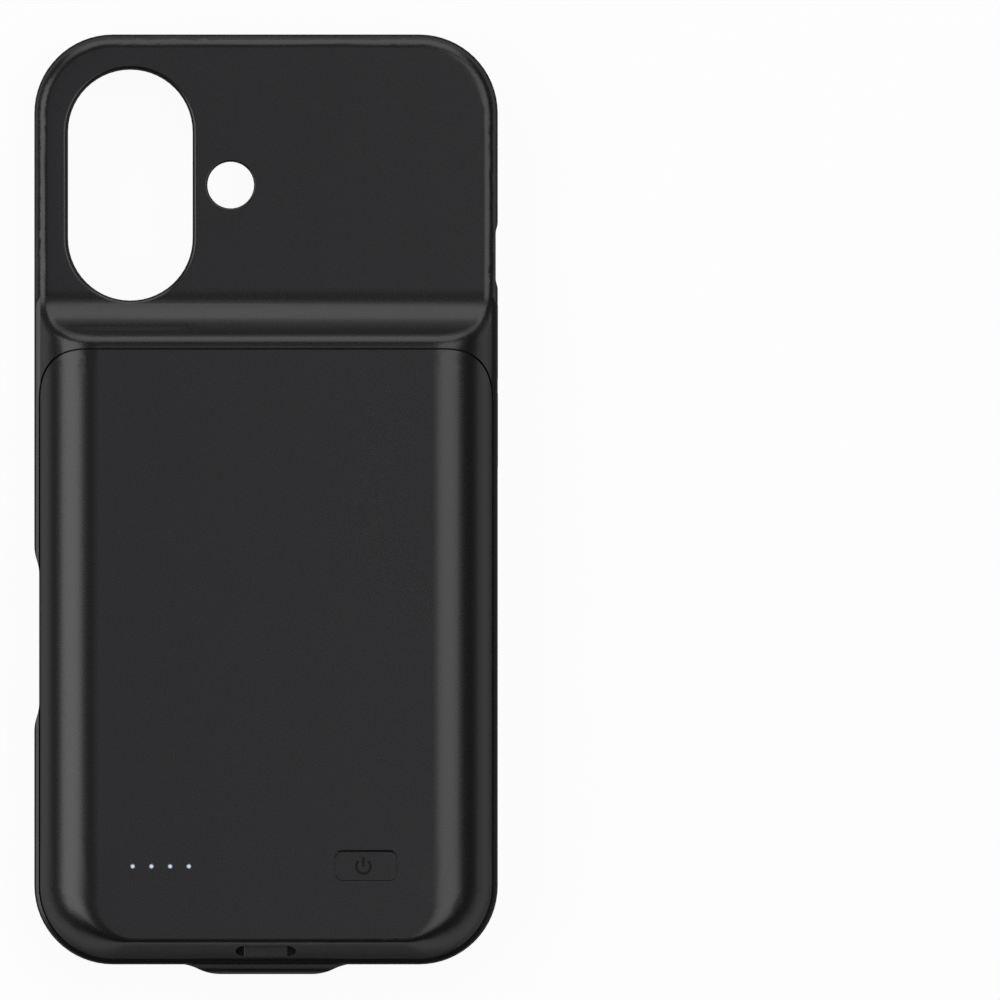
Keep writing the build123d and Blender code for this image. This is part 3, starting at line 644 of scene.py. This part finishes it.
# %% [markdown]
# ## Charge lights
#
# Four studs of a clear moulding show in the cover as small dots. They are lit, cold white with a touch of
# blue. The moulding itself is clear polycarbonate, and the tip of each stud is a shallow lens that
# scatters the light. The lens is a dome: a circle that shrinks while it rises.

# %% Charge lights

# Clear polycarbonate, polished: a little blue, with faint ripples from the flow of the melt.
clear = grained(
    "clear_polycarbonate",
    "#e6eefa",
    "#eef4fc",
    (0.08, 0.14),
    0.8,
    0.001,
    flow=4.0,
    IOR=1.58,
    Transmission_Weight=0.9,
)

# Phosphor of a white light source: pale yellow gel.
phosphor = grained("phosphor_gel", "#e9dfa6", "#efe6b4", (0.3, 0.4), 0.1, 0.001, flow=0.7, IOR=1.45)

wear(clear, "light_guide")
wear(phosphor, "status_leds")

# %% Lit lenses
LIGHT_COUNT = 4
GUIDE_END = 1.1 * MM
LENS_RADIUS = 0.36 * MM
LENS_RISE = 0.10 * MM
LENS_SINK = 0.06 * MM
guide_low, guide_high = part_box("light_guide")
light_places = np.linspace(guide_low[0] + GUIDE_END, guide_high[0] - GUIDE_END, LIGHT_COUNT)
light_row = (guide_low[1] + guide_high[1]) / 2
cover_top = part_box("battery_cover")[1][2]

# Frosted lens with light behind it: the middle glows white and the rim is bluer.
lit = bpy.data.materials.new("lit_frosted_lens")
lit.use_nodes = True
tree = lit.node_tree
tree.nodes.clear()
ring = add(tree, "ShaderNodeAttribute", attribute_name="rim").outputs["Fac"]
glow = add(
    tree,
    "ShaderNodeMix",
    {0: ring, 6: linear("#f1f3fb"), 7: linear("#4c628f")},
    data_type="RGBA",
)
lens_skin = add(
    tree,
    "ShaderNodeBsdfPrincipled",
    {
        "Base Color": linear("#3a4150"),
        "Roughness": 0.35,
        "IOR": 1.58,
        "Emission Color": glow.outputs[2],
        "Emission Strength": 0.82,
    },
)
add(tree, "ShaderNodeOutputMaterial", {"Surface": lens_skin.outputs[0]})


def dome(centre, radius, rise, rings=7, points=32):
    """Dome over a circle: the radius falls as the cosine of an angle and the height grows as its sine."""
    angle = np.linspace(0, np.pi / 2, rings)[:, None]
    turn = np.linspace(0, 2 * np.pi, points, endpoint=False)[None, :]
    x = radius * np.cos(angle) * np.cos(turn)
    y = radius * np.cos(angle) * np.sin(turn)
    z = rise * np.sin(angle) * np.ones_like(turn)
    return np.stack([x, y, z], axis=-1) + np.array(centre)


for index, across in enumerate(light_places):
    spot = (across, light_row, cover_top - LENS_SINK)
    cap = surface(f"charge_light_{index + 1}", [dome(spot, LENS_RADIUS, LENS_RISE)], lit, "case")
    far_out = np.hypot(*(np.array([v.co[:2] for v in cap.data.vertices]) - spot[:2]).T) / LENS_RADIUS
    cap.data.attributes.new("rim", "FLOAT", "POINT").data.foreach_set("value", far_out**2)
print("charge lights:", LIGHT_COUNT)

# %% [markdown]
# ## Power sign
#
# The key carries the usual sign for power, pad printed in black ink: a ring that is open at the top, and a
# bar in the opening. Ink has hardly any thickness. Each stroke is a flat ribbon with round ends, carried
# along its path, with its edges rolled down to the key.

# %% Power sign
key_low, key_high = (np.array(corner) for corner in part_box("power_key"))
SIGN_SHIFT = np.array([-0.4 * MM, 0.35 * MM])
sign_middle = ((key_low + key_high) / 2)[:2] + SIGN_SHIFT
SIGN_RADIUS = 1.15 * MM
RING_GAP = 40
BAR_FOOT = -0.10 * MM
BAR_TIP = 1.60 * MM
STROKE = 0.42 * MM
INK = 0.02 * MM
key_top = key_high[2]

# Pad-printing ink: deep black and dull.
ink = grained(
    "pad_printing_ink",
    "#0b0b0c",
    "#0e0e0f",
    (0.6, 0.7),
    0.1,
    0.0005,
    flow=1.0,
    IOR=1.5,
    Specular_IOR_Level=0.22,
)


def stroke(path, width, thickness, height, points=16, sink=0.4):
    """Ribbon along a path in the plane, narrowed to a half circle at both ends.

    Each cross-section is the upper half of an ellipse, with a flat underside that is sunk by a share of the
    thickness.
    """
    step = np.gradient(path, axis=0)
    step /= np.linalg.norm(step, axis=1, keepdims=True)
    side = np.column_stack([-step[:, 1], step[:, 0]])
    length = np.concatenate([[0], np.cumsum(np.linalg.norm(np.diff(path, axis=0), axis=1))])
    near_end = np.minimum(length, length[-1] - length)
    reach = np.clip(1 - near_end / (width / 2), 0, 1)
    half = width / 2 * np.sqrt(1 - reach**2)
    turn = np.linspace(0, 2 * np.pi, points, endpoint=False)
    across = half[:, None] * np.cos(turn)[None, :]
    lift = thickness * np.maximum(np.sin(turn), -sink)[None, :] * (half / (width / 2))[:, None]
    plane = path[:, None, :] + across[..., None] * side[:, None, :]
    return np.concatenate([plane, (height + lift)[..., None]], axis=-1)


sweep = np.radians(np.linspace(90 + RING_GAP, 450 - RING_GAP, 90))
ring_path = sign_middle + SIGN_RADIUS * np.column_stack([np.cos(sweep), np.sin(sweep)])
rise = np.linspace(BAR_FOOT, BAR_TIP, 30)
bar_path = sign_middle + np.column_stack([np.zeros_like(rise), rise])
sign = surface(
    "power_sign",
    [stroke(ring_path, STROKE, INK, key_top), stroke(bar_path, STROKE, INK, key_top)],
    ink,
    "power_key",
)
print("power sign:", len(sign.data.polygons), "faces")
